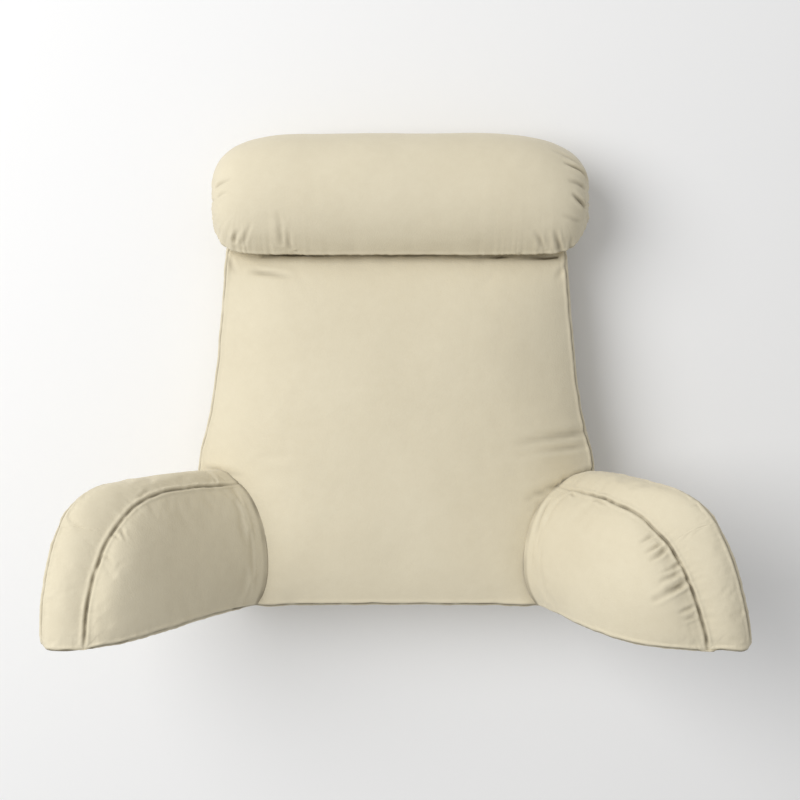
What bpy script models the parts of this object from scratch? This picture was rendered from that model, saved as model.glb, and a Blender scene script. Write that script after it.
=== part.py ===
"""Reading pillow with arms, lying on its back.

Four stuffed cushions of one plain cloth: a backrest, a neck roll sewn across its head end, and an arm sewn to
each of its lower front corners. Each cushion is a cube that is cut by loops, laid out to its own form, creased
along its sewn seams and smoothed.

Metres. The origin is on the surface that the pillow lies on, under the middle of its outline. +X is to the
right of someone who looks at the front, +Y runs from the foot to the head, and +Z comes out of the front.
"""
import bpy
import bmesh
from math import atan2, cos, hypot, radians, sin, tan
from mathutils import Vector

HEIGHT = 0.675  # foot to head
FOOT = -HEIGHT / 2  # the foot plane along Y; every height below is measured from it
GAP = 0.0003  # clearance left between two cushions that are sewn together
SMOOTHING = 1  # subdivision levels on every cushion
SEAM_TUCK = 0.0035  # how far a sewn seam is drawn in below the cloth beside it
CLOTH_COLOR = (0.70, 0.64, 0.49, 1.0)

# Backrest: a row of its cage for each row of the table, from foot to head. rise is how far the middle of the
# front panel stands above its side seams.
BACK_ROWS = (
    # height, half_width, side_seam, rise
    (0.004, 0.2820, 0.112, 0.056),
    (0.014, 0.2860, 0.112, 0.058),
    (0.045, 0.2880, 0.112, 0.060),
    (0.090, 0.2880, 0.112, 0.061),
    (0.145, 0.2875, 0.112, 0.061),
    (0.204, 0.2840, 0.111, 0.060),
    (0.222, 0.2795, 0.111, 0.059),
    (0.256, 0.2695, 0.110, 0.058),
    (0.301, 0.2605, 0.109, 0.055),
    (0.361, 0.2530, 0.107, 0.050),
    (0.421, 0.2475, 0.105, 0.042),
    (0.466, 0.2435, 0.103, 0.030),
    (0.486, 0.2415, 0.100, 0.016),
    (0.4925, 0.2395, 0.086, 0.000),
)
BACK_COLUMNS = (0.25, 0.46, 0.58, 0.64, 0.75, 0.88, 0.972)  # loops beside the middle one, as shares of half_width
BACK_DEPTHS = (-0.88, -0.35, 0.35, 0.88)  # loops in the boxing strip
CROWN_POWER = 4.6  # how square the crown of the front panel is across the width
BACK_SEAM_LIFT = 0.030  # the back panel's seams stand this far above the surface
BACK_FLAT = 0.72  # share of the back panel that lies flat
SIDE_BULGE = 0.006  # how far the boxing strip stands out beyond its seams
FOOT_SAG = 0.018  # how far the front panel falls away between the arms, down to its foot seam
SAG_HEIGHT = 0.115  # height over which it does
HEAD_ROWS = 4  # rows that follow the slope of the head end

# The joint between an arm and the front panel in plan, as (across, depth): a flat facet out to the side seam.
JOINT_INNER = (0.180, 0.166)
JOINT_OUTER = (0.287, 0.110)
ARM_CENTER = 0.2295  # how far across the middle line of an arm leaves the joint
FACET_TOP = 0.222  # the facet is flat up to this height
FACET_FADE = 0.090  # and fades into the crown over this much more

# Neck roll: a round roll, pressed flat by the surface and by the head end of the backrest.
ROLL_DEPTH = 0.080  # depth of its middle line
ROLL_DEPTH_SHARE = 0.958  # its depth as a share of its height, before it is pressed flat
ROLL_HALF_LENGTH = 0.2690
ROLL_END_DOME = 0.005  # how far the middle of an end panel stands out beyond its seam
ROLL_SHIFT = 0.006  # it sits this far to the right of the middle
CONTACT = (0.4925, 0.120)  # a point of the plane where roll and backrest meet: height, depth
CONTACT_SLOPE = -0.55  # height gained along that plane for each metre of depth
ROLL_STATIONS = (
    # from_end, left_low, left_high, right_low, right_high
    (0.0060, 0.5570, 0.5900, 0.5590, 0.5910),
    (0.0005, 0.5470, 0.6010, 0.5500, 0.6020),
    (0.0040, 0.5310, 0.6180, 0.5360, 0.6180),
    (0.0120, 0.5105, 0.6360, 0.5170, 0.6340),
    (0.0250, 0.4950, 0.6500, 0.4990, 0.6470),
    (0.0450, 0.4885, 0.6620, 0.4895, 0.6580),
    (0.0750, 0.4870, 0.6700, 0.4870, 0.6690),
    (0.1150, 0.4860, 0.6745, 0.4860, 0.6745),
    (0.1600, 0.4860, 0.6750, 0.4860, 0.6750),
)
ROLL_LOOPS_ROUND = (-0.5, 0.0, 0.5)
CLOSING_SEAM = 0.5  # the loop on the side towards the backrest that is the tube's closing seam

# Arms. Along runs from the joint to the tip, over runs across the arm towards the sitter, and height goes up
# from the foot plane. A D seam joins each side panel to the band over the top and down the tip.
ARM_SPLAY = radians(39)
ARM_LEANS = {-1: radians(0), 1: radians(12)}  # how far each arm leans towards the sitter at its tip
BASE_SEAM = 0.004  # height of the seams round the base panel
D_PANELS = (
    # side, facing, length, top, root_top, root_drop, round_from, squareness, base_lift, root_over, tip_over,
    # root_crown, crown
    (-1, -1, 0.313, 0.202, 0.194, 0.002, 0.222, 2.0, 0.000, -0.044, -0.036, 0.016, 0.034),
    (-1, 1, 0.283, 0.190, 0.178, 0.000, 0.150, 2.0, 0.010, 0.010, 0.016, 0.043, 0.040),
    (1, -1, 0.317, 0.208, 0.198, 0.011, 0.215, 2.35, 0.000, -0.044, -0.034, 0.016, 0.032),
    (1, 1, 0.286, 0.180, 0.174, 0.000, 0.150, 2.1, 0.000, 0.000, 0.016, 0.055, 0.063),
)
ROOT_BULGES = {-1: 0.010, 1: 0.006}  # bulge of each arm's band at the joint, where its top dips to the backrest
ROOT_DIP = 0.045  # length over which it does
ROOT_FULLNESS = 4.0  # how far up a side panel stays full at the joint, and farther out
FULLNESS = 2.2
ROOT_PINCH = 0.45  # share of the crown at the joint that is drawn in again down at the base
PINCH_HEIGHT = 0.3  # share of the arm's height over which it is
TIP_HEIGHT = 0.4  # share of the arm's height over which an inner panel closes more softly at the tip
BAND_BULGE = 0.0145
CORNER_TURN = radians(50)  # where the band's top loop turns into its front loop, round the D
ARM_LOOPS_ALONG = (-0.86, -0.6, -0.15, 0.25, 0.6, 0.85, 0.97)
ARM_LOOPS_UP = (-0.96, -0.7, -0.35, 0.0, 0.35, 0.65, 0.88, 0.975)
ARM_LOOPS_OVER = (-0.86, -0.3, 0.3, 0.86)


def lerp(start, end, share):
    return start + (end - start) * share


def cloth(name):
    """Plain matte brushed cloth."""
    material = bpy.data.materials.new(name + "_cloth")
    material.use_nodes = True
    shader = material.node_tree.nodes["Principled BSDF"]
    shader.inputs["Base Color"].default_value = CLOTH_COLOR
    shader.inputs["Roughness"].default_value = 0.9
    shader.inputs["Metallic"].default_value = 0.0
    return material


def cube_sides(point):
    """The sides of the cube that a point lies on, as (axis, sign)."""
    return {(axis, round(value)) for axis, value in enumerate(point) if abs(value) > 0.9999}


def cushion(name, collection, loops, place, is_seam, joint_side=None):
    """A cube cut by loops along its three axes, laid out by place, with its seams creased and drawn in."""
    cage = bmesh.new()
    bmesh.ops.create_cube(cage, size=2)
    for axis, cuts in enumerate(loops):
        normal = Vector([float(axis == other) for other in range(3)])
        for cut in cuts:
            everything = cage.verts[:] + cage.edges[:] + cage.faces[:]
            bmesh.ops.bisect_plane(cage, geom=everything, dist=1e-5, plane_co=normal * cut, plane_no=normal)
    crease = cage.edges.layers.float.new("crease_edge")
    sewn = set()
    for edge in cage.edges:
        ends = [vertex.co.copy() for vertex in edge.verts]
        sides = cube_sides(ends[0]) & cube_sides(ends[1])
        on_joint = joint_side in sides and len(sides) == 2
        if on_joint or is_seam(sides, ends):
            edge[crease] = 1.0
            sewn.update(edge.verts)
    held = {vertex for vertex in cage.verts if joint_side in cube_sides(vertex.co)}
    for vertex in cage.verts:
        vertex.co = place(*vertex.co)
    bmesh.ops.recalc_face_normals(cage, faces=cage.faces[:])
    tucks = {vertex: vertex.normal * SEAM_TUCK for vertex in sewn - held}
    for vertex, tuck in tucks.items():
        vertex.co -= tuck
    mesh = bpy.data.meshes.new(name)
    cage.to_mesh(mesh)
    cage.free()
    mesh.shade_smooth()
    mesh.materials.append(cloth(name))
    body = bpy.data.objects.new(name, mesh)
    collection.objects.link(body)
    smooth = body.modifiers.new("Smooth", "SUBSURF")
    smooth.levels = SMOOTHING
    smooth.render_levels = SMOOTHING


def facet_depth(across):
    """Depth of the joint's plane at a distance across from the middle."""
    share = (across - JOINT_INNER[0]) / (JOINT_OUTER[0] - JOINT_INNER[0])
    return lerp(JOINT_INNER[1], JOINT_OUTER[1], share)


def contact_height(depth):
    """Height of the plane where the roll meets the backrest."""
    return CONTACT[0] + (depth - CONTACT[1]) * CONTACT_SLOPE


def make_backrest(collection):
    """Front and back panels with a boxing strip all round."""
    last = len(BACK_ROWS) - 1
    row_loops = [2 * row / last - 1 for row in range(1, last)]
    columns = (*BACK_COLUMNS, 0, *[-column for column in BACK_COLUMNS])

    def place(across, up, out):
        row = round((up + 1) / 2 * last)
        height, half_width, side_seam, rise = BACK_ROWS[row]
        x = half_width * across
        front = side_seam + rise * (1 - abs(across) ** CROWN_POWER)
        between = max(0, 1 - (abs(x) / JOINT_INNER[0]) ** 5)
        front -= FOOT_SAG * max(0, 1 - height / SAG_HEIGHT) ** 2 * between
        flat = min(1, max(0, 1 - (height - FACET_TOP) / FACET_FADE))
        front = lerp(front, min(front, facet_depth(abs(x))), flat)
        lift_side = max(0, abs(across) - BACK_FLAT) / (1 - BACK_FLAT)
        lift_end = max(0, abs(up) - BACK_FLAT) / (1 - BACK_FLAT)
        back = BACK_SEAM_LIFT * (1 - (1 - lift_side**2) * (1 - lift_end**2))
        z = lerp(back, front, (out + 1) / 2)
        strip = 1 - out**4
        if abs(across) == 1:
            x += across * SIDE_BULGE * strip
        head = max(0, row - last + HEAD_ROWS) / HEAD_ROWS
        height += (contact_height(z) - CONTACT[0]) * head**2
        if up == -1 and strip > 0:
            height = 0
        return x, FOOT + height, z

    def is_seam(sides, ends):
        return len(sides) == 2 and bool(sides & {(2, 1), (2, -1)})

    cushion("backrest", collection, (columns, row_loops, BACK_DEPTHS), place, is_seam)


def make_neck_roll(collection):
    """A tube with a round panel gathered into each end."""
    count = len(ROLL_STATIONS)
    loops = [station / count for station in range(1 - count, count)]
    plane_length = hypot(1, CONTACT_SLOPE)

    def place(along, up, out):
        station = round((1 - abs(along)) * count)
        from_end, *ends = ROLL_STATIONS[min(station, count - 1)]
        low, high = ends[2:] if along > 0 else ends[:2]
        x = (1 if along > 0 else -1) * (ROLL_HALF_LENGTH - from_end) if station < count else 0
        radius = (high - low) / 2
        if station == 0:
            reach = max(abs(up), abs(out))
            radius *= reach
            x += along * ROLL_END_DOME * (1 - reach**2)
        turn = atan2(out, up)
        height = (low + high) / 2 + radius * cos(turn)
        depth = ROLL_DEPTH + radius * ROLL_DEPTH_SHARE * sin(turn)
        under = (contact_height(depth) - height) / plane_length + GAP
        if under > 0:
            height += under / plane_length
            depth -= under / plane_length * CONTACT_SLOPE
        return x + ROLL_SHIFT, FOOT + height, max(depth, 0)

    def is_seam(sides, ends):
        at_end = len(sides) == 2 and bool(sides & {(0, 1), (0, -1)})
        closing = sides == {(1, -1)} and all(abs(end.z - CLOSING_SEAM) < 0.001 for end in ends)
        return at_end or closing

    cushion("neck_roll", collection, (loops, ROLL_LOOPS_ROUND, ROLL_LOOPS_ROUND), place, is_seam)


def d_seam(panel, way):
    """A point of a panel's D seam: way is 0 at the top of the joint, 1 on the shoulder and 2 at the base."""
    _, _, length, top, root_top, _, round_from, squareness = panel[:8]
    rise = top - BASE_SEAM
    reach = length - round_from
    if way > 1:
        turn = lerp(CORNER_TURN, 0, way - 1)
        run = round_from + reach * cos(turn) ** (2 / squareness)
        return Vector((run, BASE_SEAM + rise * sin(turn) ** (2 / squareness)))
    along = (round_from + reach * cos(CORNER_TURN) ** (2 / squareness)) * way
    if along < round_from:
        return Vector((along, lerp(root_top, top, sin(along / round_from * radians(90)))))
    fall = 1 - ((along - round_from) / reach) ** squareness
    return Vector((along, BASE_SEAM + rise * fall ** (1 / squareness)))


def d_panel(panel, along, up):
    """A point inside a D panel, blended from its four edges; along and up run from 0 to 1."""
    _, _, length, _, root_top, root_drop, _, _, base_lift = panel[:9]
    top = d_seam(panel, along)
    tip = d_seam(panel, 2 - up)
    base = Vector((length * along, BASE_SEAM))
    root = Vector((0, lerp(BASE_SEAM, root_top, up)))
    corners = lerp(base, lerp(Vector((0, root_top)), d_seam(panel, 1), along), up)
    point = lerp(base, top, up) + lerp(root, tip, along) - corners
    point.y += base_lift * sin(along * radians(180)) * (1 - up) ** 3
    point.y -= root_drop * up * max(0, 1 - point.x / ROOT_DIP) ** 2
    return point


def d_crown(panel, along, up):
    """How far a side panel stands out there beyond its D seam."""
    root_crown, crown = panel[-2:]
    crown = lerp(root_crown, crown, sin(min(1, along * 2) * radians(90)))
    low = max(0, 1 - up / TIP_HEIGHT) if panel[1] > 0 else 0
    closing = (1 - max(0, (along - 0.5) * 2) ** lerp(7, 3, low)) ** lerp(0.55, 0.8, low)
    pinch = ROOT_PINCH * max(0, 1 - up / PINCH_HEIGHT) ** 2 * max(0, 1 - along * 2)
    fullness = lerp(ROOT_FULLNESS, FULLNESS, min(1, along * 2.5))
    return crown * closing * (1 - pinch) * (1 - up**fullness) ** 0.75


def make_arm(collection, name, side):
    """Two D panels, a band over the top and down the tip, and a base panel."""
    panels = [panel for facing in (-1, 1) for panel in D_PANELS if panel[:2] == (side, facing)]
    joint_normal = Vector((JOINT_INNER[1] - JOINT_OUTER[1], 0, JOINT_OUTER[0] - JOINT_INNER[0])).normalized()
    joint_middle = Vector((ARM_CENTER, 0, facet_depth(ARM_CENTER)))
    forward = Vector((sin(ARM_SPLAY), 0, cos(ARM_SPLAY)))
    inward = Vector((-cos(ARM_SPLAY), 0, sin(ARM_SPLAY)))
    skew = -inward.dot(joint_normal) / forward.dot(joint_normal)
    lean = tan(ARM_LEANS[side])

    def panel_point(panel, along, up):
        facing, root_over, tip_over = panel[1], panel[-4], panel[-3]
        run, height = d_panel(panel, along, up)
        over = lerp(root_over, tip_over, along) + facing * d_crown(panel, along, up)
        return Vector((run, over, height))

    def place(a, b, c):
        along, up = (a + 1) / 2, (b + 1) / 2
        run, over, height = lerp(*[panel_point(panel, along, up) for panel in panels], (c + 1) / 2)
        strip = 1 - c**2
        if a == 1 or b == 1:
            turn = CORNER_TURN * up if a == 1 else lerp(radians(90), CORNER_TURN, along**2)
            bulge = lerp(BAND_BULGE, ROOT_BULGES[side], max(0, 1 - run / ROOT_DIP) ** 2) * strip
            run += cos(turn) * bulge
            height += sin(turn) * bulge
        elif b == -1:
            height *= max(abs(a), abs(c)) ** 6
        over += height * lean * min(1, along * 1.5)
        point = joint_middle + inward * over + forward * (run + skew * over * (1 - along))
        point += joint_normal * GAP * (1 - along)
        return side * point.x, FOOT + height, point.z

    def is_seam(sides, ends):
        panel_edge = len(sides) == 2 and bool(sides & {(2, 1), (2, -1)})
        return panel_edge or sides == {(1, -1), (0, 1)}

    loops = (ARM_LOOPS_ALONG, ARM_LOOPS_UP, ARM_LOOPS_OVER)
    cushion(name, collection, loops, place, is_seam, joint_side=(0, -1))


def main():
    for thing in list(bpy.data.objects):
        bpy.data.objects.remove(thing, do_unlink=True)
    collection = bpy.data.collections.new("reading_pillow")
    bpy.context.scene.collection.children.link(collection)
    make_backrest(collection)
    make_neck_roll(collection)
    make_arm(collection, "arm_left", -1)
    make_arm(collection, "arm_right", 1)


main()
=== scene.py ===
"""Reading pillow with arms, lying on its back.

Four stuffed cushions of one plain brushed cloth, sewn together: a backrest, a neck roll across its head
end, and an arm at each lower front corner. Metres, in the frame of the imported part: +X is to the right of
someone who looks at the front, +Y runs from the foot to the head, and +Z comes out of the front.
"""
from math import atan2, cos, hypot, pi, radians, sin, tan

import bpy
import numpy as np
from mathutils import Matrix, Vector, kdtree, noise


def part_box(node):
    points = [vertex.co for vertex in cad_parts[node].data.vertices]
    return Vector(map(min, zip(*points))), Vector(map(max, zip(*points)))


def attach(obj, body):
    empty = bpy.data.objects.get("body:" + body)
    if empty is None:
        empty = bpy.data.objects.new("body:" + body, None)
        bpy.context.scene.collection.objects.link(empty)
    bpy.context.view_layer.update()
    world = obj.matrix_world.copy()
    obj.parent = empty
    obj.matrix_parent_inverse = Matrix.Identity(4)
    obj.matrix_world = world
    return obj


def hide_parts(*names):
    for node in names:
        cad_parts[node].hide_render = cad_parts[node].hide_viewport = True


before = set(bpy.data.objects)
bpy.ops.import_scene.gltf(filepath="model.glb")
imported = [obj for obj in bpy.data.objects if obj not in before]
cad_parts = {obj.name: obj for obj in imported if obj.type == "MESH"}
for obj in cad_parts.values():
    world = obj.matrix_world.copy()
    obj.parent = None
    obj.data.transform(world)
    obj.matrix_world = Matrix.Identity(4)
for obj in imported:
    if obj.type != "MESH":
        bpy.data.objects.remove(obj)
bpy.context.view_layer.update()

# --- Backrest -------------------------------------------------------------------------------------------
# The big cushion: a front and a back panel with a boxing strip all round, joined by plain seams and stuffed
# until the front is crowned. It is narrower at the head, and each arm is sewn flat to a lower front corner.
# The values and functions that all cushions share are here too.

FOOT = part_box("backrest")[0].y  # the plane that it stands on in use; heights are measured from it
GAP = 0.0003  # left between two cushions that are sewn together
SEAM_TUCK = 0.0018  # how far a seam is drawn in below the cloth beside it
CORNER_TUCK = 0.004  # and a corner where three seams meet
SLACK = 0.003  # the cloth starts this much inside its form before it is stuffed
FILL_STEPS = 20  # steps of the simulation that stuffs it
EDGE_STITCHES = 6  # points to which distances are measured, on each edge of a seam
LINE_STITCHES = 40  # and on each stretch of a drawn-in line
BASE_HEIGHT = 0.010  # seams lower than this above the foot are the base's
GROOVE = 0.0022  # depth of the narrow groove along a seam
GROOVE_WIDTH = 0.0018
LIP = 0.0009  # height of the soft lips on both sides of it
LIP_PLACE = 0.0045  # how far from the seam they are
LIP_WIDTH = 0.0024
WANDER = 0.0014  # how far a seam strays from its line
WANDER_LENGTH = 0.025  # length of a bend as it strays
WANDER_REACH = 0.012  # how far the cloth beside it follows
PULL_CHANGE = 0.7  # how much harder or softer a seam pulls here and there
PULL_LENGTH = 0.012  # length of such a stretch
FIRST_PULL = 0.15  # share of its pull that a seam has where it runs into a joint
MEETING_REACH = 0.016  # seams pull less than this far from where three of them meet
MEETING_PULL = 0.1  # and with this share where they do
GATHER_SIZE = 0.006  # length of a gather along the seam
GATHER_START = 0.003  # distance from the seam at which gathers begin
LUMPS = 0.0013  # unevenness of the filling
LUMP_SIZE = 0.075
SMALL_LUMPS = 0.3  # share of the unevenness that small lumps have
SMALL_LUMP_SIZE = 0.022
LUMP_START = 0.03  # distance from the seam at which lumps are at their full height
NOISE_SEED = 1  # which way seams and folds stray
FOLD_WANDER = 0.0013  # how far a fold strays from its line
FOLD_WANDER_LENGTH = 0.015
FOLD_THICKNESS = 0.015  # a fold shows on cloth that is less than this above or below its line
RIDGE_HEIGHT = 0.5  # height of the ridges beside a fold's groove, as a share of its deepness
RIDGE_PLACE = 1.9  # their distance from its middle, and their width, in widths of the groove
RIDGE_WIDTH = 0.9
SEAM_PAINTED_SHADE = 0.5  # painted shade: how far a seam's colour goes towards SEAM_SHADE
FOOT_PAINTED_SHADE = 0.95  # the same painted shade for the seams round the base, which lie in shade at the edge
PULL_DARKNESS = 1.2  # pull at which a seam's painted shade is at its deepest
SEAM_LINE = 0.0021  # half the width of the painted shade line in a seam
JOINT_SHADE = 0.41  # how dark the painted shade line is along which an arm is sewn to the backrest
JOINT_EDGE = 0.0043  # distance from the joint's plane at which that line shows
JOINT_LINE = 0.0022  # half its width
JOINT_CHANGE = 0.03  # length of the stretches in which it is darker or lighter
FOLD_DEPTH = 0.007  # depth of a fold that would be wholly in painted shade
FOLD_SHADE = 0.45  # the deepest painted shade that a fold gets
NOOK_SHADE = 0.22  # how dark the painted shadow is in the nook on both sides of a drawn-in line
NOOK_REACH = 0.008
BACK_ROWS = (
    # height, half_width, side_seam, rise
    (0.004, 0.2820, 0.112, 0.056),
    (0.014, 0.2860, 0.112, 0.058),
    (0.045, 0.2880, 0.112, 0.060),
    (0.090, 0.2880, 0.112, 0.061),
    (0.145, 0.2875, 0.112, 0.061),
    (0.204, 0.2840, 0.111, 0.060),
    (0.222, 0.2795, 0.111, 0.059),
    (0.256, 0.2695, 0.110, 0.058),
    (0.301, 0.2605, 0.109, 0.055),
    (0.361, 0.2530, 0.107, 0.050),
    (0.421, 0.2475, 0.105, 0.042),
    (0.466, 0.2435, 0.103, 0.030),
    (0.486, 0.2415, 0.100, 0.016),
    (0.4925, 0.2395, 0.086, 0.000),
)
BACK_COLUMNS = (0.25, 0.46, 0.58, 0.64, 0.75, 0.88, 0.972)  # loops beside the middle, in half_widths
BACK_DEPTHS = (-0.88, -0.35, 0.35, 0.88)  # loops in the boxing strip
CROWN_POWER = 4.6  # how square the crown of the front panel is across the width
BACK_SEAM_LIFT = 0.030  # the back panel's seams stand this far above the surface
BACK_FLAT = 0.72  # share of the back panel that lies flat
SIDE_BULGE = 0.006  # how far the boxing strip stands out beyond its seams
FOOT_SAG = 0.018  # how far the front panel falls away between the arms, down to its foot seam
SAG_HEIGHT = 0.115  # height over which it does
HEAD_ROWS = 4  # rows that follow the slope of the head end
JOINT_INNER = (0.180, 0.166)  # inner edge of an arm's joint, a flat facet, as (across, depth)
JOINT_OUTER = (0.287, 0.110)  # and its outer edge, at the side seam
FACET_TOP = 0.222  # the facet is flat up to this height
FACET_FADE = 0.090  # and fades into the crown over this much more
CONTACT = (0.4925, 0.120)  # a point of the plane where backrest and roll meet: height, depth
CONTACT_SLOPE = -0.55  # height gained along that plane for each metre of depth
BACK_FOLDS = (
    # start x, height, depth, end x, height, depth, width, deepness
    (-0.202, 0.477, 0.114, -0.145, 0.469, 0.125, 0.0045, 0.0024),
    (0.273, 0.247, 0.104, 0.161, 0.238, 0.164, 0.0060, 0.0022),
    (0.269, 0.228, 0.116, 0.184, 0.226, 0.159, 0.0050, 0.0018),
    (0.241, 0.488, 0.096, 0.225, 0.463, 0.111, 0.0040, 0.0015),
    (-0.238, 0.494, 0.094, -0.226, 0.470, 0.109, 0.0040, 0.0013),
    (0.204, 0.145, 0.153, 0.186, 0.100, 0.162, 0.0045, 0.0014),
    (0.226, 0.175, 0.140, 0.178, 0.157, 0.164, 0.0042, 0.0028),
    (0.214, 0.162, 0.148, 0.183, 0.142, 0.162, 0.0036, 0.0020),
    (0.287, 0.193, 0.110, 0.215, 0.170, 0.147, 0.0040, 0.0040),
    (0.240, 0.182, 0.134, 0.186, 0.126, 0.162, 0.0038, 0.0026),
    (-0.272, 0.196, 0.118, -0.212, 0.191, 0.149, 0.0038, 0.0022),
)
BACK_LINES = (
    # the line where the roll is sewn on: how dark its painted shade is, and its points as across, height,
    # depth
    (
        1.6,
        (-0.190, 0.4980, 0.099),
        (-0.136, 0.4980, 0.100),
        (-0.065, 0.4975, 0.102),
        (0.006, 0.4980, 0.101),
        (0.119, 0.4970, 0.102),
        (0.175, 0.4950, 0.103),
        (0.228, 0.4945, 0.097),
    ),
)


def lerp(start, end, share):
    return start + (end - start) * share


def cut_cube(name, loops):
    """A cube from -1 to 1, cut into loops along its three axes."""
    bpy.ops.object.select_all(action="DESELECT")
    bpy.ops.mesh.primitive_cube_add(size=2)
    cushion = bpy.context.object
    cushion.name = name
    bpy.ops.object.mode_set(mode="EDIT")
    for axis, cuts in enumerate(loops):
        normal = [float(axis == other) for other in range(3)]
        for cut in cuts:
            bpy.ops.mesh.select_all(action="SELECT")
            bpy.ops.mesh.bisect(plane_co=[cut * part for part in normal], plane_no=normal)
    bpy.ops.object.mode_set(mode="OBJECT")
    return cushion


def cube_sides(point):
    """The sides of the cube that a point lies on, as (axis, sign)."""
    return {(axis, round(value)) for axis, value in enumerate(point) if abs(value) > 0.9999}


def sew(cushion, place, is_seam, joint_side=None):
    """Marks the seams on the cut cube, lays its points out as the cushion and unwraps its cut panels."""
    mesh = cushion.data
    corners = [vertex.co.copy() for vertex in mesh.vertices]
    crease = mesh.attributes.new("crease_edge", "FLOAT", "EDGE")
    seams = []
    joint = {index for index, corner in enumerate(corners) if joint_side in cube_sides(corner)}
    for edge in mesh.edges:
        ends = [corners[index] for index in edge.vertices]
        sides = cube_sides(ends[0]) & cube_sides(ends[1])
        on_joint = joint_side in sides and len(sides) == 2
        if on_joint or is_seam(sides, ends):
            crease.data[edge.index].value = 1
            edge.use_seam = True
            if not on_joint:
                seams += edge.vertices
    for vertex in mesh.vertices:
        vertex.co = place(*vertex.co)
    bpy.ops.object.mode_set(mode="EDIT")
    bpy.ops.mesh.select_all(action="SELECT")
    bpy.ops.mesh.normals_make_consistent(inside=False)
    bpy.ops.uv.unwrap(method="ANGLE_BASED", margin=0.02)
    bpy.ops.object.mode_set(mode="OBJECT")
    meetings = {index for index in seams if seams.count(index) > 2}
    seams = set(seams)
    depths = {index: CORNER_TUCK if index in meetings else SEAM_TUCK for index in seams - joint}
    tucks = {index: mesh.vertices[index].normal * depth for index, depth in depths.items()}
    for index, tuck in tucks.items():
        mesh.vertices[index].co -= tuck
    cushion.vertex_groups.new(name="seams").add(sorted(seams), 1, "REPLACE")
    cushion.vertex_groups.new(name="meetings").add(sorted(meetings), 1, "REPLACE")
    cushion.vertex_groups.new(name="held").add(sorted(seams | joint), 1, "REPLACE")
    uvs = read(mesh.uv_layers[0].data, "uv", 2)
    write(mesh.uv_layers[0].data, "uv", uvs * (cloth_area(mesh) / flat_area(mesh, uvs)) ** 0.5)


def read(items, name, width):
    """A property of all items, as an array with a row for each."""
    values = np.zeros(len(items) * width, np.float32)
    items.foreach_get(name, values)
    return values.reshape(-1, width).astype(float)


def write(items, name, values):
    items.foreach_set(name, np.asarray(values, np.float32).ravel())


def cloth_area(mesh):
    return sum(face.area for face in mesh.polygons)


def flat_area(mesh, uvs):
    """Area of the unwrapped panels."""
    total = 0
    for face in mesh.polygons:
        flat = uvs[face.loop_start : face.loop_start + face.loop_total]
        ahead = np.roll(flat, -1, axis=0)
        total += abs((flat[:, 0] * ahead[:, 1] - flat[:, 1] * ahead[:, 0]).sum()) / 2
    return total


def subdivide(cushion, levels):
    smooth = cushion.modifiers.new("Smooth", "SUBSURF")
    smooth.levels = levels
    smooth.render_levels = levels
    bpy.context.view_layer.objects.active = cushion
    bpy.ops.object.modifier_apply(modifier="Smooth")


def group_weights(cushion, name):
    """Each point's weight in a vertex group."""
    number = cushion.vertex_groups[name].index
    weights = np.zeros(len(cushion.data.vertices))
    for vertex in cushion.data.vertices:
        for group in vertex.groups:
            if group.group == number:
                weights[vertex.index] = group.weight
    return weights


def sewn_points(cushion, name):
    """Which points are wholly in a vertex group, and not beside it."""
    return group_weights(cushion, name) > 0.999


def swell(cushion, distance):
    """Moves the cloth out, or in, along its normals, leaving what is held where it is."""
    mesh = cushion.data
    points = read(mesh.vertices, "co", 3)
    normals = read(mesh.vertices, "normal", 3)
    loose = 1 - group_weights(cushion, "held")
    write(mesh.vertices, "co", points + normals * (loose * distance)[:, None])
    mesh.update()


def fill(cushion, pressure, growth, reach):
    """Stuffs the sewn cloth: its seams are held, pressure and a little spare cloth do the rest.

    Growth is the share of spare cloth, and reach is the farthest that a point may move.
    """
    mesh = cushion.data
    before = read(mesh.vertices, "co", 3)
    swell(cushion, -SLACK)
    cushion.modifiers.new("Filling", "CLOTH")
    filling = cushion.modifiers["Filling"]
    filling.settings.quality = 5
    filling.settings.mass = 0.2
    filling.settings.tension_stiffness = 12
    filling.settings.compression_stiffness = 12
    filling.settings.shear_stiffness = 4
    filling.settings.bending_stiffness = 0.4
    filling.settings.air_damping = 2
    filling.settings.use_pressure = True
    filling.settings.uniform_pressure_force = pressure
    filling.settings.vertex_group_mass = "held"
    filling.settings.shrink_min = -growth
    filling.settings.effector_weights.gravity = 0
    scene = bpy.context.scene
    for step in range(1, FILL_STEPS + 1):
        scene.frame_set(step)
    bpy.context.view_layer.objects.active = cushion
    bpy.ops.object.modifier_apply(modifier="Filling")
    scene.frame_set(1)
    after = read(mesh.vertices, "co", 3)
    moves = after - before
    lengths = np.linalg.norm(moves, axis=1)
    shares = np.minimum(1, reach / np.maximum(lengths, 1e-9))
    write(mesh.vertices, "co", before + moves * shares[:, None])
    mesh.update()


def facet_depth(across):
    """Depth of the joint's plane at a distance across from the middle."""
    share = (across - JOINT_INNER[0]) / (JOINT_OUTER[0] - JOINT_INNER[0])
    return lerp(JOINT_INNER[1], JOINT_OUTER[1], share)


def contact_height(depth):
    """Height of the plane where the roll meets the backrest."""
    return CONTACT[0] + (depth - CONTACT[1]) * CONTACT_SLOPE


LAST_ROW = len(BACK_ROWS) - 1


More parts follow.
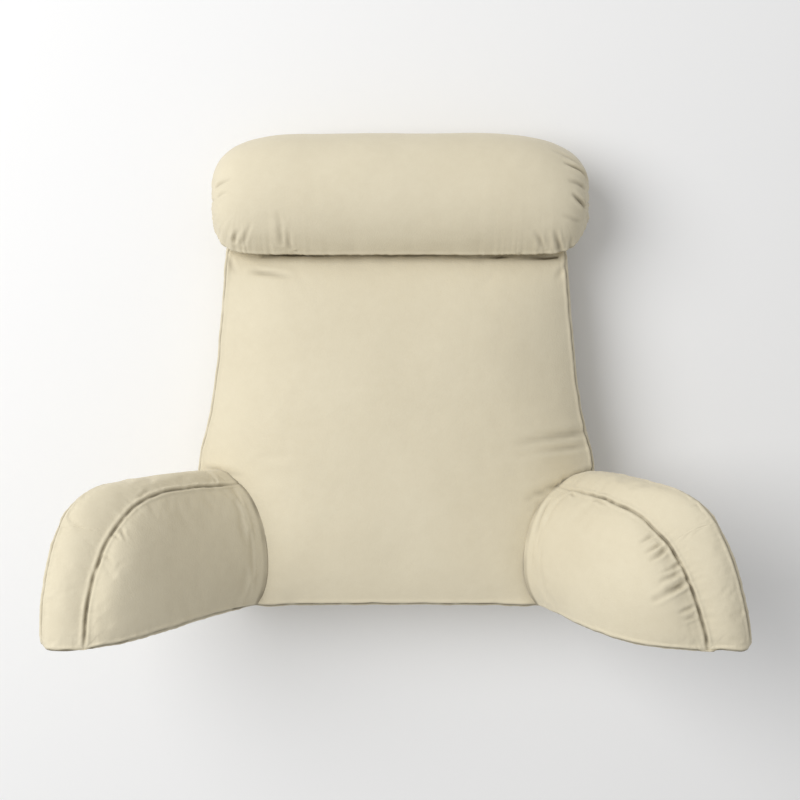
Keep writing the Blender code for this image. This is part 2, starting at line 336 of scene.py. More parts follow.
def backrest_point(across, up, out):
    row = round((up + 1) / 2 * LAST_ROW)
    height, half_width, side_seam, rise = BACK_ROWS[row]
    x = half_width * across
    front = side_seam + rise * (1 - abs(across) ** CROWN_POWER)
    between = max(0, 1 - (abs(x) / JOINT_INNER[0]) ** 5)
    front -= FOOT_SAG * max(0, 1 - height / SAG_HEIGHT) ** 2 * between
    flat = min(1, max(0, 1 - (height - FACET_TOP) / FACET_FADE))
    front = lerp(front, min(front, facet_depth(abs(x))), flat)
    lift_side = max(0, abs(across) - BACK_FLAT) / (1 - BACK_FLAT)
    lift_end = max(0, abs(up) - BACK_FLAT) / (1 - BACK_FLAT)
    back = BACK_SEAM_LIFT * (1 - (1 - lift_side**2) * (1 - lift_end**2))
    z = lerp(back, front, (out + 1) / 2)
    strip = 1 - out**4
    if abs(across) == 1:
        x += across * SIDE_BULGE * strip
    head = max(0, row - LAST_ROW + HEAD_ROWS) / HEAD_ROWS
    height += (contact_height(z) - CONTACT[0]) * head**2
    if up == -1 and strip > 0:
        height = 0  # the foot is flat between its seams
    return x, FOOT + height, z


def backrest_seam(sides, ends):
    return len(sides) == 2 and bool(sides & {(2, 1), (2, -1)})


def keep_below(points, place, normal, share=1):
    """Moves points that are past a plane back onto it, or a share of the way."""
    past = np.maximum((points - np.array(place)) @ np.array(normal), 0)
    points -= np.outer(past * share, normal)


def rest_on_surface(points):
    points[:, 2] = np.maximum(points[:, 2], 0)


def joint_plane(side):
    """A point of an arm's joint and the direction that faces out of the backrest."""
    place = Vector((side * JOINT_INNER[0], FOOT, JOINT_INNER[1]))
    normal = Vector((side * (JOINT_INNER[1] - JOINT_OUTER[1]), 0, JOINT_OUTER[0] - JOINT_INNER[0]))
    return place, normal.normalized()


def contact_plane():
    """A point of the plane where backrest and roll meet and the direction that faces the roll."""
    return Vector((0, FOOT + CONTACT[0], CONTACT[1])), Vector((0, 1, -CONTACT_SLOPE)).normalized()


def fit_backrest(points):
    """Flat where it lies on the surface, where the arms are sewn on and where the roll is."""
    rest_on_surface(points)
    height = points[:, 1] - FOOT
    flat = np.clip(1 - (height - FACET_TOP) / FACET_FADE, 0, 1)
    for side in (-1, 1):
        keep_below(points, *joint_plane(side), flat)
    keep_below(points, *contact_plane())


def reshape(cushion, change):
    """Lets a function change the cushion's points in place."""
    points = read(cushion.data.vertices, "co", 3)
    change(points)
    write(cushion.data.vertices, "co", points)
    cushion.data.update()


def unevenness(points, size):
    """Smooth noise from -1 to 1 with lumps of that size."""
    return np.array([noise.noise(Vector(point / size)) for point in points])


def drift(points, size):
    """Smooth noise as a vector, which turns over that distance."""
    return np.array([noise.noise_vector(Vector(point / size)) for point in points])


def bell(distance, width):
    """1 at no distance, and falling off on both sides over about that width."""
    return np.exp(-((distance / width) ** 2))


def nearest_seam(cushion, lines):
    """For each point, the distance to the nearest seam or drawn-in line, a place on it and the strength of
    its painted shade.
    """
    mesh = cushion.data
    points = read(mesh.vertices, "co", 3)
    sewn = sewn_points(cushion, "seams")
    edges = np.zeros(len(mesh.edges) * 2, np.int32)
    mesh.edges.foreach_get("vertices", edges)
    edges = edges.reshape(-1, 2)
    starts, ends = points[edges[sewn[edges].all(axis=1)].T]
    stitches = [lerp(starts, ends, share) for share in np.linspace(0, 1, EDGE_STITCHES)]
    at_foot = (starts + ends)[:, 1] / 2 < FOOT + BASE_HEIGHT
    # painted shade for each stitch of a seam, deeper for the seams round the base
    shades = list(np.where(at_foot, FOOT_PAINTED_SHADE, SEAM_PAINTED_SHADE)) * EDGE_STITCHES
    for shade, *line in lines:
        corners = [np.array((across, FOOT + height, depth)) for across, height, depth in line]
        for start, end in zip(corners, corners[1:]):
            stitches.append(np.linspace(start, end, LINE_STITCHES))
            shades += [shade] * LINE_STITCHES
    stitches = np.concatenate(stitches)
    tree = kdtree.KDTree(len(stitches))
    for index, stitch in enumerate(stitches):
        tree.insert(stitch, index)
    tree.balance()
    distances = []
    places = []
    painted_shade_strength = []
    for point in points:
        found = tree.find_n(point, 3)
        distances.append(found[0][2])
        places.append((found[0][0] + found[1][0] + found[2][0]) / 3)
        painted_shade_strength.append(shades[found[0][1]])
    return np.array(distances), np.array(places), np.array(painted_shade_strength)


def fold_relief(points, normals, folds):
    """Relief of the folds: each is a groove that runs out towards its end, between two soft ridges."""
    wander = FOLD_WANDER * drift(points, FOLD_WANDER_LENGTH)
    relief = np.zeros(len(points))
    for start_x, start_height, start_depth, end_x, end_height, end_depth, width, deepness in folds:
        start = np.array([start_x, FOOT + start_height, start_depth])
        axis = np.array([end_x, FOOT + end_height, end_depth]) - start
        share = np.clip((points + wander - start) @ axis / (axis @ axis), 0, 1)
        offset = points + wander - start - share[:, None] * axis
        above = (offset * normals).sum(axis=1)
        away = np.linalg.norm(offset - above[:, None] * normals, axis=1) / width
        profile = bell(away, 1) - RIDGE_HEIGHT * bell(away - RIDGE_PLACE, RIDGE_WIDTH)
        near = np.exp(-((above / FOLD_THICKNESS) ** 4))
        setting_in = np.minimum(1, 0.4 + 3 * share)  # all there from a fifth of the way
        relief -= deepness * (1 - share**2) * setting_in * profile * near
    return relief


def finish_cloth(cushion, folds, lines=(), gathers=0.0006, gather_reach=0.012, joint=None):
    """Draws the seams in as narrow grooves between soft lips, gathers the cloth along them, lays its folds
    and writes painted shade to the attribute crease: lines in the seams, along a joint and in the folds,
    and a soft painted shadow in the nook beside a drawn-in line.

    Joint holds a point and the normal of the plane that the cushion is sewn on by, and how far from it the
    seams have their full pull.
    """
    mesh = cushion.data
    near, places, painted_shade_strength = nearest_seam(cushion, lines)
    points = read(mesh.vertices, "co", 3)
    points += WANDER * drift(places, WANDER_LENGTH) * np.exp(-near / WANDER_REACH)[:, None]
    write(mesh.vertices, "co", points)
    mesh.update()
    normals = read(mesh.vertices, "normal", 3)
    pull = 1 + PULL_CHANGE * unevenness(places, PULL_LENGTH)
    joint_shade = 0
    if joint:
        place, normal, firm_from = joint
        beyond = (points - np.array(place)) @ np.array(normal)
        pull *= np.clip(beyond / firm_from, FIRST_PULL, 1)
        # painted shade along the line where the arm meets the backrest
        joint_line = bell(np.maximum(beyond - JOINT_EDGE, 0), JOINT_LINE)
        joint_shade = JOINT_SHADE * (1 + unevenness(points, JOINT_CHANGE)) * joint_line
    for corner in points[sewn_points(cushion, "meetings")]:
        pull *= np.clip(np.linalg.norm(points - corner, axis=1) / MEETING_REACH, MEETING_PULL, 1)
    folded = fold_relief(points, normals, folds)
    move = -GROOVE * pull * bell(near, GROOVE_WIDTH)
    move += LIP * pull * bell(near - LIP_PLACE, LIP_WIDTH)
    gathered = unevenness(places, GATHER_SIZE) + 0.5 * unevenness(places, GATHER_SIZE / 2)
    move += gathers * gathered * np.exp(-near / gather_reach) * (1 - bell(near, GATHER_START))
    lumps = unevenness(points, LUMP_SIZE) + SMALL_LUMPS * unevenness(points, SMALL_LUMP_SIZE)
    move += LUMPS * lumps * np.clip(near / LUMP_START, 0, 1) + folded
    write(mesh.vertices, "co", points + normals * move[:, None])
    mesh.update()
    on_line = painted_shade_strength > 1  # seams are never that dark
    # painted shade: a line in each seam, shade in the folds, a line along an arm's joint and a soft painted
    # shadow in the nook beside the roll's line
    painted_shade = painted_shade_strength * np.clip(pull, 0, PULL_DARKNESS) * bell(near, SEAM_LINE)
    painted_shade += np.clip(-folded / FOLD_DEPTH, 0, FOLD_SHADE)
    painted_shade += joint_shade + NOOK_SHADE * on_line * np.exp(-near / NOOK_REACH)
    # the attribute crease holds this painted shade, from 0 to 1
    crease = mesh.attributes.new("crease", "FLOAT", "POINT")
    crease.data.foreach_set("value", np.clip(painted_shade, 0, 1).astype(np.float32))


class Value:
    """An output of one of a cloth's shader nodes. Arithmetic on it adds Math nodes."""

    def __init__(self, cloth, output):
        self.cloth = cloth
        self.output = output

    def maths(self, operation, first, second):
        return self.cloth.node("ShaderNodeMath", {"operation": operation}, {0: first, 1: second})

    def __add__(self, other):
        return self.maths("ADD", self, other)

    def __radd__(self, other):
        return self.maths("ADD", other, self)

    def __sub__(self, other):
        return self.maths("SUBTRACT", self, other)

    def __rsub__(self, other):
        return self.maths("SUBTRACT", other, self)

    def __mul__(self, other):
        return self.maths("MULTIPLY", self, other)

    def __rmul__(self, other):
        return self.maths("MULTIPLY", other, self)


class Cloth:
    """A material made of nodes."""

    def __init__(self, name):
        self.material = bpy.data.materials.new(name)
        self.material.use_nodes = True
        self.nodes = self.material.node_tree.nodes
        self.links = self.material.node_tree.links
        self.shader = self.nodes["Principled BSDF"]

    def node(self, kind, settings, inputs, output=0):
        """Adds a node: its settings first, then the values or links of its sockets."""
        node = self.nodes.new(kind)
        for name, setting in settings.items():
            setattr(node, name, setting)
        self.set(node, inputs)
        return Value(self, node.outputs[output])

    def set(self, node, inputs):
        for name, value in inputs.items():
            if isinstance(value, Value):
                self.links.new(value.output, node.inputs[name])
            else:
                node.inputs[name].default_value = value

    def noise(self, place, scale, detail=2.0):
        """Soft noise from 0 to 1 at a number of lumps to the metre."""
        return self.node("ShaderNodeTexNoise", {}, {"Vector": place, "Scale": scale, "Detail": detail})

    def mix(self, share, first, second):
        """From one colour to another. Sockets 6 and 7 are the colours."""
        settings = {"data_type": "RGBA"}
        return self.node("ShaderNodeMix", settings, {0: share, 6: first, 7: second}, output=2)


CLOTH_LIGHT = (0.740, 0.675, 0.515, 1)
CLOTH_DEEP = (0.650, 0.580, 0.425, 1)
SEAM_SHADE = (0.075, 0.055, 0.026, 1)  # the cloth where no light reaches, deep in a seam
BROAD_LUMPS = 9  # lumps to the metre: slow changes of colour, thicker threads and the brushed nap
SLUB_LUMPS = 90
NAP_LUMPS = 420
THREADS = 1100  # threads to the metre, each way
WEAVE_HEIGHT = 0.00006  # relief of the threads, and of nap and slubs
NAP_HEIGHT = 0.00025


def brushed_cloth(name):
    """Plain woven cotton with a brushed face: fine threads under a soft nap, and painted shade where it
    creases.
    """
    cloth = Cloth(name)
    body = cloth.node("ShaderNodeTexCoord", {}, {}, output="Object")
    panel = cloth.node("ShaderNodeTexCoord", {}, {}, output="UV")
    across = cloth.node("ShaderNodeSeparateXYZ", {}, {0: panel}, output="X")
    along = cloth.node("ShaderNodeSeparateXYZ", {}, {0: panel}, output="Y")
    turn = pi * THREADS  # a thread over and a thread under to each wave
    warp = cloth.node("ShaderNodeMath", {"operation": "SINE"}, {0: across * turn})
    weft = cloth.node("ShaderNodeMath", {"operation": "SINE"}, {0: along * turn})
    weave = warp * weft
    broad = cloth.noise(body, BROAD_LUMPS)
    nap = cloth.noise(body, NAP_LUMPS, 3)
    slub = cloth.noise(body, SLUB_LUMPS)
    # painted shade: the attribute crease takes the colour towards SEAM_SHADE in seams, folds, joints and
    # nooks
    crease = cloth.node("ShaderNodeAttribute", {"attribute_name": "crease"}, {}, output="Fac")
    tone = broad * 0.75 + slub * 0.35 + nap * 0.3 - 0.2
    face = cloth.mix(tone, CLOTH_DEEP, CLOTH_LIGHT)
    color = cloth.mix(crease, face, SEAM_SHADE)
    soft = nap * NAP_HEIGHT + slub * NAP_HEIGHT
    low = cloth.node("ShaderNodeBump", {}, {"Height": soft, "Distance": 1.0})
    threads = weave * WEAVE_HEIGHT
    fine = cloth.node("ShaderNodeBump", {}, {"Height": threads, "Distance": 1.0, "Normal": low})
    cloth.set(
        cloth.shader,
        {
            "Base Color": color,
            "Roughness": 0.82 + nap * 0.15,
            "Specular IOR Level": 0.25,
            "Sheen Weight": 0.25,
            "Sheen Roughness": 0.45,
            "Sheen Tint": (1.0, 0.96, 0.88, 1),
            "Normal": fine,
        },
    )
    return cloth.material


def dress(cushion, node):
    """Gives a finished cushion its cloth and its place in the frame."""
    mesh = cushion.data
    mesh.shade_smooth()
    mesh.materials.clear()
    mesh.materials.append(brushed_cloth(cushion.name + "_cloth"))
    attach(cushion, "root")
    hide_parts(node)


noise.seed_set(NOISE_SEED)
columns = (*BACK_COLUMNS, 0, *[-column for column in BACK_COLUMNS])
rows = [2 * row / LAST_ROW - 1 for row in range(1, LAST_ROW)]
backrest = cut_cube("backrest_cushion", (columns, rows, BACK_DEPTHS))
sew(backrest, backrest_point, backrest_seam)
subdivide(backrest, 2)
fill(backrest, pressure=4, growth=0.0, reach=0.006)
reshape(backrest, fit_backrest)
subdivide(backrest, 1)
finish_cloth(backrest, BACK_FOLDS, BACK_LINES)
reshape(backrest, fit_backrest)
dress(backrest, "backrest")

# --- Neck roll ------------------------------------------------------------------------------------------
# A tube of cloth with a round panel gathered into each end, stuffed tight and sewn along its closing seam
# to the head end of the backrest, which presses it flat there.

ROLL_DEPTH = 0.080  # depth of its middle line
ROLL_DEPTH_SHARE = 0.958  # its depth as a share of its height, before it is pressed flat
ROLL_HALF_LENGTH = 0.2690
ROLL_END_DOME = 0.005  # how far the middle of an end panel stands out beyond its seam
ROLL_SHIFT = 0.006  # it sits this far to the right of the middle
ROLL_STATIONS = (
    # from_end, left_low, left_high, right_low, right_high
    (0.0060, 0.5570, 0.5900, 0.5590, 0.5910),
    (0.0005, 0.5470, 0.6010, 0.5500, 0.6020),
    (0.0040, 0.5310, 0.6180, 0.5360, 0.6180),
    (0.0120, 0.5105, 0.6360, 0.5170, 0.6340),
    (0.0250, 0.4950, 0.6500, 0.4990, 0.6470),
    (0.0450, 0.4885, 0.6620, 0.4895, 0.6580),
    (0.0750, 0.4870, 0.6700, 0.4870, 0.6690),
    (0.1150, 0.4860, 0.6745, 0.4860, 0.6745),
    (0.1600, 0.4860, 0.6750, 0.4860, 0.6750),
)
ROLL_LOOPS_ROUND = (-0.5, 0.0, 0.5)
CLOSING_SEAM = 0.5  # the loop on the side towards the backrest that is the tube's closing seam
ROLL_FOLDS = (
    # start x, height, depth, end x, height, depth, width, deepness
    (0.268, 0.606, 0.114, 0.232, 0.628, 0.137, 0.0032, 0.0060),
    (0.265, 0.591, 0.127, 0.237, 0.603, 0.148, 0.0035, 0.0028),
    (0.264, 0.565, 0.129, 0.243, 0.583, 0.150, 0.0030, 0.0056),
    (0.256, 0.626, 0.118, 0.213, 0.647, 0.127, 0.0035, 0.0014),
    (0.205, 0.509, 0.131, 0.191, 0.533, 0.153, 0.0030, 0.0017),
    (0.230, 0.504, 0.116, 0.219, 0.533, 0.150, 0.0030, 0.0030),
    (0.240, 0.505, 0.100, 0.245, 0.523, 0.131, 0.0030, 0.0024),
    (0.258, 0.544, 0.132, 0.228, 0.553, 0.155, 0.0030, 0.0013),
    (-0.252, 0.592, 0.132, -0.226, 0.604, 0.151, 0.0024, 0.0020),
    (-0.248, 0.579, 0.139, -0.231, 0.586, 0.153, 0.0024, 0.0012),
    (-0.158, 0.513, 0.139, -0.161, 0.561, 0.164, 0.0035, 0.0014),
    (-0.147, 0.507, 0.132, -0.149, 0.536, 0.157, 0.0030, 0.0016),
    (-0.227, 0.515, 0.132, -0.218, 0.533, 0.149, 0.0030, 0.0022),
    (-0.212, 0.513, 0.133, -0.200, 0.544, 0.157, 0.0030, 0.0014),
    (-0.139, 0.505, 0.127, -0.136, 0.505, 0.127, 0.0020, 0.0025),
    (0.042, 0.504, 0.126, 0.045, 0.504, 0.126, 0.0020, 0.0025),
    (0.172, 0.503, 0.122, 0.175, 0.503, 0.122, 0.0020, 0.0025),
)
END_GATHERS = 19  # small folds that run out from the seam round an end panel
END_GATHER_START = (0.0005, 0.021)  # distance of their inner ends from the roll's end and its middle line
END_GATHER_END = (0.0070, 0.044)  # the same of their outer ends
END_GATHER_REACH = 0.010  # how much farther out or in the outer ends may be
END_GATHER_WIDTH = 0.0024
END_GATHER_DEPTH = 0.0013
END_GATHER_CHANGE = 0.0006  # how much deeper or shallower they may be
STATIONS = len(ROLL_STATIONS)


def roll_point(along, up, out):
    station = round((1 - abs(along)) * STATIONS)
    from_end, *ends = ROLL_STATIONS[min(station, STATIONS - 1)]
    low, high = ends[2:] if along > 0 else ends[:2]
    x = (1 if along > 0 else -1) * (ROLL_HALF_LENGTH - from_end) if station < STATIONS else 0
    radius = (high - low) / 2
    if station == 0:
        reach = max(abs(up), abs(out))
        radius *= reach
        x += along * ROLL_END_DOME * (1 - reach**2)
    turn = atan2(out, up)
    height = (low + high) / 2 + radius * cos(turn)
    depth = ROLL_DEPTH + radius * ROLL_DEPTH_SHARE * sin(turn)
    plane_length = hypot(1, CONTACT_SLOPE)
    under = (contact_height(depth) - height) / plane_length + GAP
    if under > 0:  # pressed flat against the backrest
        height += under / plane_length
        depth -= under / plane_length * CONTACT_SLOPE
    return x + ROLL_SHIFT, FOOT + height, max(depth, 0)


def roll_seam(sides, ends):
    at_end = len(sides) == 2 and bool(sides & {(0, 1), (0, -1)})
    closing = sides == {(1, -1)} and all(abs(end.z - CLOSING_SEAM) < 0.001 for end in ends)
    return at_end or closing


def fit_roll(points):
    """Flat where it lies on the surface and against the backrest."""
    rest_on_surface(points)
    place, normal = contact_plane()
    keep_below(points, place + normal * GAP, -normal)


def end_folds(side):
    """Rows like ROLL_FOLDS for the gathers round an end panel, uneven in length and deepness."""
    _, *ends = ROLL_STATIONS[0]
    low, high = ends[2:] if side > 0 else ends[:2]
    folds = []
    for number in range(END_GATHERS):
        turn = radians(360) * (number + 0.3 * sin(2.4 * number + side)) / END_GATHERS
        outer_from_end, outer_radius = END_GATHER_END
        outer_radius += END_GATHER_REACH * sin(1.7 * number + side)
        row = []
        for from_end, radius in (END_GATHER_START, (outer_from_end, outer_radius)):
            x = side * (ROLL_HALF_LENGTH - from_end) + ROLL_SHIFT
            row += [x, (low + high) / 2 + radius * cos(turn), ROLL_DEPTH + radius * sin(turn)]
        folds.append((*row, END_GATHER_WIDTH, END_GATHER_DEPTH + END_GATHER_CHANGE * sin(3.1 * number)))
    return folds


loops = [station / STATIONS for station in range(1 - STATIONS, STATIONS)]
neck_roll = cut_cube("neck_roll_cushion", (loops, ROLL_LOOPS_ROUND, ROLL_LOOPS_ROUND))
sew(neck_roll, roll_point, roll_seam)
subdivide(neck_roll, 3)
fill(neck_roll, pressure=4, growth=0.0, reach=0.006)
reshape(neck_roll, fit_roll)
subdivide(neck_roll, 1)
finish_cloth(neck_roll, [*ROLL_FOLDS, *end_folds(-1), *end_folds(1)], gathers=0.0016, gather_reach=0.030)
reshape(neck_roll, fit_roll)
dress(neck_roll, "neck_roll")

# --- Arms -----------------------------------------------------------------------------------------------
# Two D-shaped side panels, a band over the top and down the tip, and a base panel, stuffed firm. Each arm
# is sewn by its straight root to a lower front corner of the backrest. The right one leans inwards.

ARM_CENTER = 0.2295  # how far across the middle line of an arm leaves the joint
ARM_SPLAY = radians(39)
ARM_LEANS = {-1: radians(0), 1: radians(12)}  # how far each arm leans towards the sitter at its tip
BASE_SEAM = 0.004  # height of the seams round the base panel
D_PANELS = (
    # side, facing, length, top, root_top, root_drop, round_from, squareness, base_lift,
    # root_over, tip_over, root_crown, crown
    (-1, -1, 0.313, 0.202, 0.194, 0.002, 0.222, 2.0, 0.000, -0.044, -0.036, 0.016, 0.034),
    (-1, 1, 0.283, 0.190, 0.178, 0.000, 0.150, 2.0, 0.010, 0.010, 0.016, 0.043, 0.040),
    (1, -1, 0.317, 0.208, 0.198, 0.011, 0.215, 2.35, 0.000, -0.044, -0.034, 0.016, 0.032),
    (1, 1, 0.286, 0.180, 0.174, 0.000, 0.150, 2.1, 0.000, 0.000, 0.016, 0.055, 0.063),
)
ROOT_BULGES = {-1: 0.010, 1: 0.006}  # how far each arm's band stands out beyond its seams at the joint
ROOT_DIP = 0.045  # length over which the top dips to the joint
ROOT_FULLNESS = 4.0  # how far up a side panel stays full at the joint, and farther out
FULLNESS = 2.2
ROOT_PINCH = 0.45  # share of the crown at the joint that is drawn in again down at the base
PINCH_HEIGHT = 0.3  # share of the arm's height over which it is
TIP_HEIGHT = 0.4  # share of the arm's height over which an inner panel closes more softly at the tip
BAND_BULGE = 0.0145  # how far the band stands out elsewhere
CORNER_TURN = radians(50)  # where the band's top loop turns into its front loop, round the D
ARM_LOOPS_ALONG = (-0.86, -0.6, -0.15, 0.25, 0.6, 0.85, 0.97)
ARM_LOOPS_UP = (-0.96, -0.7, -0.35, 0.0, 0.35, 0.65, 0.88, 0.975)
ARM_LOOPS_OVER = (-0.86, -0.3, 0.3, 0.86)
ROOT_SINK = 0.006  # how far the cloth at an arm's root is drawn into the backrest by its seam
ROOT_REACH = 0.030  # how far from the joint the cloth is drawn
CORNER_ROUNDING = 0.010  # how far the low outer corner of the tip is drawn in
CORNER_ACROSS = 0.436  # it is, more and more, from this far across
CORNER_WIDTH = 0.022  # over this much
CORNER_HEIGHT = 0.018  # and up to this height above the foot
BASE_LIFT = 0.0036  # the whole base is kept at least this far above the foot
SEAM_STARTS = {-1: 0.03, 1: 0.12}  # distance from the joint at which each arm's seams are fully drawn in
ARM_FOLDS = (
    # start x, height, depth, end x, height, depth, width, deepness
    (0.367, 0.096, 0.366, 0.318, 0.067, 0.378, 0.0034, 0.0036),
    (0.356, 0.106, 0.368, 0.330, 0.094, 0.377, 0.0030, 0.0026),
    (0.360, 0.115, 0.362, 0.332, 0.103, 0.374, 0.0028, 0.0024),
    (0.344, 0.132, 0.357, 0.320, 0.119, 0.365, 0.0028, 0.0028),
    (0.337, 0.138, 0.355, 0.314, 0.128, 0.358, 0.0026, 0.0024),
    (0.328, 0.149, 0.347, 0.308, 0.139, 0.349, 0.0026, 0.0020),
    (0.364, 0.091, 0.371, 0.345, 0.081, 0.381, 0.0026, 0.0026),
    (0.375, 0.063, 0.375, 0.354, 0.056, 0.384, 0.0026, 0.0018),
    (0.377, 0.050, 0.377, 0.363, 0.047, 0.383, 0.0024, 0.0014),
    (0.265, 0.176, 0.239, 0.280, 0.174, 0.279, 0.0022, 0.0014),
    (0.274, 0.179, 0.245, 0.287, 0.176, 0.276, 0.0020, 0.0012),
    (0.387, 0.183, 0.343, 0.372, 0.186, 0.348, 0.0022, 0.0012),
    (0.217, 0.154, 0.161, 0.198, 0.104, 0.174, 0.0035, 0.0017),
    (0.241, 0.173, 0.181, 0.246, 0.171, 0.201, 0.0022, 0.0014),
    (-0.353, 0.150, 0.326, -0.345, 0.136, 0.332, 0.0025, 0.0011),
    (-0.338, 0.185, 0.285, -0.326, 0.192, 0.265, 0.0024, 0.0010),
    (-0.252, 0.188, 0.167, -0.251, 0.178, 0.176, 0.0022, 0.0014),
    (-0.365, 0.145, 0.328, -0.351, 0.138, 0.334, 0.0024, 0.0010),
    (-0.374, 0.120, 0.342, -0.360, 0.117, 0.349, 0.0024, 0.0009),
)


def d_seam(panel, way):
    """A point of a panel's D seam: way is 0 at the joint's top, 1 on the shoulder and 2 at the base."""
    _, _, length, top, root_top, _, round_from, squareness = panel[:8]
    rise = top - BASE_SEAM
    reach = length - round_from
    if way > 1:
        turn = lerp(CORNER_TURN, 0, way - 1)
        run = round_from + reach * cos(turn) ** (2 / squareness)
        return Vector((run, BASE_SEAM + rise * sin(turn) ** (2 / squareness)))
    along = (round_from + reach * cos(CORNER_TURN) ** (2 / squareness)) * way
    if along < round_from:
        return Vector((along, lerp(root_top, top, sin(along / round_from * radians(90)))))
    fall = 1 - ((along - round_from) / reach) ** squareness
    return Vector((along, BASE_SEAM + rise * fall ** (1 / squareness)))


def d_panel(panel, along, up):
    """A point inside a D panel, blended from its four edges; along and up run from 0 to 1."""
    _, _, length, _, root_top, root_drop, _, _, base_lift = panel[:9]
    top = d_seam(panel, along)
    tip = d_seam(panel, 2 - up)
    base = Vector((length * along, BASE_SEAM))
    root = Vector((0, lerp(BASE_SEAM, root_top, up)))
    corners = lerp(base, lerp(Vector((0, root_top)), d_seam(panel, 1), along), up)
    point = lerp(base, top, up) + lerp(root, tip, along) - corners
    point.y += base_lift * sin(along * radians(180)) * (1 - up) ** 3
    point.y -= root_drop * up * max(0, 1 - point.x / ROOT_DIP) ** 2
    return point


def d_crown(panel, along, up):
    """How far a side panel stands out there beyond its D seam."""
    root_crown, crown = panel[-2:]
    crown = lerp(root_crown, crown, sin(min(1, along * 2) * radians(90)))
    low = max(0, 1 - up / TIP_HEIGHT) if panel[1] > 0 else 0
    closing = (1 - max(0, (along - 0.5) * 2) ** lerp(7, 3, low)) ** lerp(0.55, 0.8, low)
    pinch = ROOT_PINCH * max(0, 1 - up / PINCH_HEIGHT) ** 2 * max(0, 1 - along * 2)
    fullness = lerp(ROOT_FULLNESS, FULLNESS, min(1, along * 2.5))
    return crown * closing * (1 - pinch) * (1 - up**fullness) ** 0.75


def arm_point(side, a, b, c):
    """A point of an arm, from its cage's point (a, b, c): along runs from the joint to the tip, up from the
    base to the top, and over across the arm towards the sitter.
    """
    along = (a + 1) / 2
    up = (b + 1) / 2
    faces = []
    for panel in D_PANELS:
        if panel[0] == side:
            run, height = d_panel(panel, along, up)
            over = lerp(panel[-4], panel[-3], along) + panel[1] * d_crown(panel, along, up)
            faces.append(Vector((run, over, height)))
    run, over, height = lerp(*faces, (c + 1) / 2)
    strip = 1 - c**2
    if a == 1 or b == 1:
        turn = CORNER_TURN * up if a == 1 else lerp(radians(90), CORNER_TURN, along**2)
        bulge = lerp(BAND_BULGE, ROOT_BULGES[side], max(0, 1 - run / ROOT_DIP) ** 2) * strip
        run += cos(turn) * bulge
        height += sin(turn) * bulge
    elif b == -1:
        height *= max(abs(a), abs(c)) ** 6
    over += height * tan(ARM_LEANS[side]) * min(1, along * 1.5)
    forward = Vector((side * sin(ARM_SPLAY), 0, cos(ARM_SPLAY)))
    inward = Vector((-side * cos(ARM_SPLAY), 0, sin(ARM_SPLAY)))
    _, out = joint_plane(side)
    middle = Vector((side * ARM_CENTER, 0, facet_depth(ARM_CENTER)))
    skew = -inward.dot(out) / forward.dot(out)
    point = middle + inward * over + forward * (run + skew * over * (1 - along))
    point += out * GAP * (1 - along)
    return point.x, FOOT + height, point.z


def arm_seam(sides, ends):
    panel_edge = len(sides) == 2 and bool(sides & {(2, 1), (2, -1)})
    return panel_edge or sides == {(1, -1), (0, 1)}


def make_arm(name, side):
    """An arm on one side: -1 is the left one and 1 the right one."""
    joint_place, joint_normal = joint_plane(side)

    def place(a, b, c):
        return arm_point(side, a, b, c)

    def fit_arm(points):
        """Draws the root into the backrest, so that no gap shows, rounds the corner and levels the base."""
        beyond = (points - np.array(joint_place)) @ np.array(joint_normal)
        points -= np.outer(ROOT_SINK * np.clip(1 - beyond / ROOT_REACH, 0, 1) ** 2, joint_normal)
        outer = np.clip((np.abs(points[:, 0]) - CORNER_ACROSS) / CORNER_WIDTH, 0, 1)
        low = np.clip(1 - (points[:, 1] - FOOT) / CORNER_HEIGHT, 0, 1)
        points[:, 0] -= side * CORNER_ROUNDING * outer * low**2
        points[:, 1] = np.maximum(points[:, 1], FOOT + BASE_LIFT)

    arm = cut_cube(name + "_cushion", (ARM_LOOPS_ALONG, ARM_LOOPS_UP, ARM_LOOPS_OVER))
    sew(arm, place, arm_seam, joint_side=(0, -1))
    subdivide(arm, 3)
    fill(arm, pressure=4, growth=0.006, reach=0.006)
    subdivide(arm, 1)
    finish_cloth(arm, ARM_FOLDS, gathers=0.0008, joint=(joint_place, joint_normal, SEAM_STARTS[side]))
    reshape(arm, fit_arm)
    dress(arm, name)


make_arm("arm_left", -1)
make_arm("arm_right", 1)

# --- Room -----------------------------------------------------------------------------------------------
# A plain pale floor under the pillow, one large soft light at the upper left and an even pale surround.
# The camera looks down on the front, a little from the head's side.

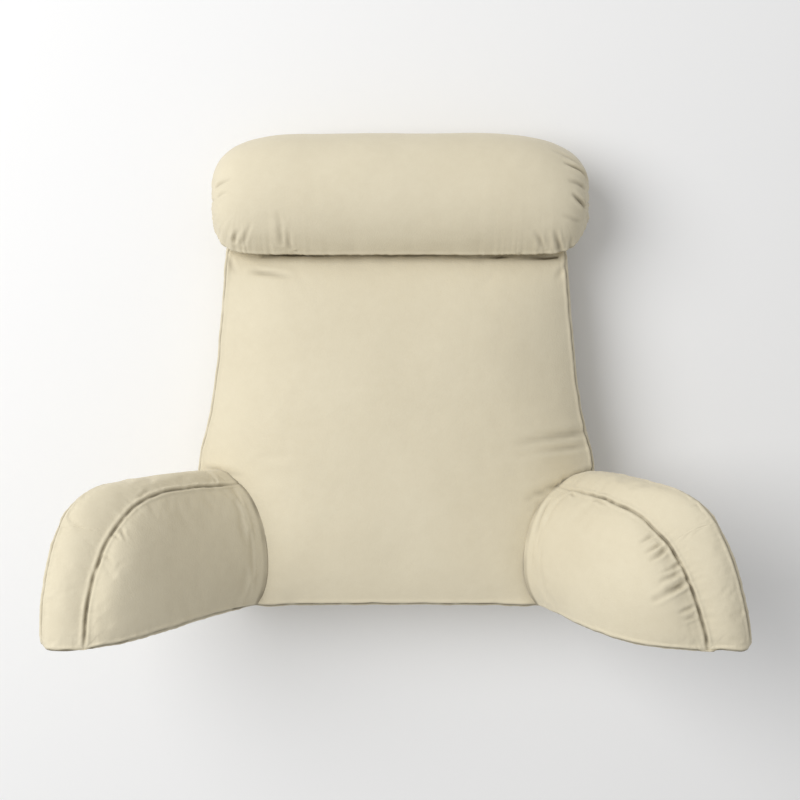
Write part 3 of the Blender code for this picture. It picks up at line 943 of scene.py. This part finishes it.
SURFACE_SIZE = 6.0
VIEW_TILT = radians(7)
VIEW_DISTANCE = 2.0
VIEW_SHIFT = 0.0028  # how far to the right the camera stands, as a share of its distance
VIEW_HEIGHT = 0.299  # height above the foot of the point that the camera is aimed at
VIEW_DEPTH = 0.16  # and its depth
LENS = 64.8
LIGHT_AZIMUTH = radians(27)  # from straight left towards the head
LIGHT_ELEVATION = radians(48)
LIGHT_DISTANCE = 3.6
LIGHT_SIZE = 2.9
LIGHT_POWER = 102
SURROUND = 0.49

bpy.ops.object.select_all(action="DESELECT")
bpy.ops.mesh.primitive_plane_add(size=SURFACE_SIZE)
floor = bpy.context.object
floor.name = "floor"
paint = Cloth("pale_floor")
paint.set(paint.shader, {"Base Color": (0.87, 0.87, 0.87, 1), "Roughness": 0.9})
floor.data.materials.append(paint.material)

aim = Vector((0, FOOT + VIEW_HEIGHT, VIEW_DEPTH))
level = cos(LIGHT_ELEVATION)
towards_light = Vector((-cos(LIGHT_AZIMUTH) * level, sin(LIGHT_AZIMUTH) * level, sin(LIGHT_ELEVATION)))
lamp = bpy.data.lights.new("key", "AREA")
lamp.shape = "DISK"
lamp.size = LIGHT_SIZE
lamp.energy = LIGHT_POWER
light = bpy.data.objects.new("key", lamp)
bpy.context.scene.collection.objects.link(light)
light.location = aim + towards_light * LIGHT_DISTANCE
light.rotation_euler = (-towards_light).to_track_quat("-Z", "Y").to_euler()

world = bpy.data.worlds.new("surround")
world.use_nodes = True
world.node_tree.nodes["Background"].inputs["Color"].default_value = (1, 1, 1, 1)
world.node_tree.nodes["Background"].inputs["Strength"].default_value = SURROUND
bpy.context.scene.world = world
bpy.context.scene.view_settings.view_transform = "Standard"

lens = bpy.data.cameras.new("camera")
lens.lens = LENS
lens.sensor_width = 36
camera = bpy.data.objects.new("camera", lens)
bpy.context.scene.collection.objects.link(camera)
camera.location = aim + Vector((VIEW_SHIFT, sin(VIEW_TILT), cos(VIEW_TILT))) * VIEW_DISTANCE
camera.rotation_euler = (-VIEW_TILT, 0, 0)
bpy.context.scene.camera = camera
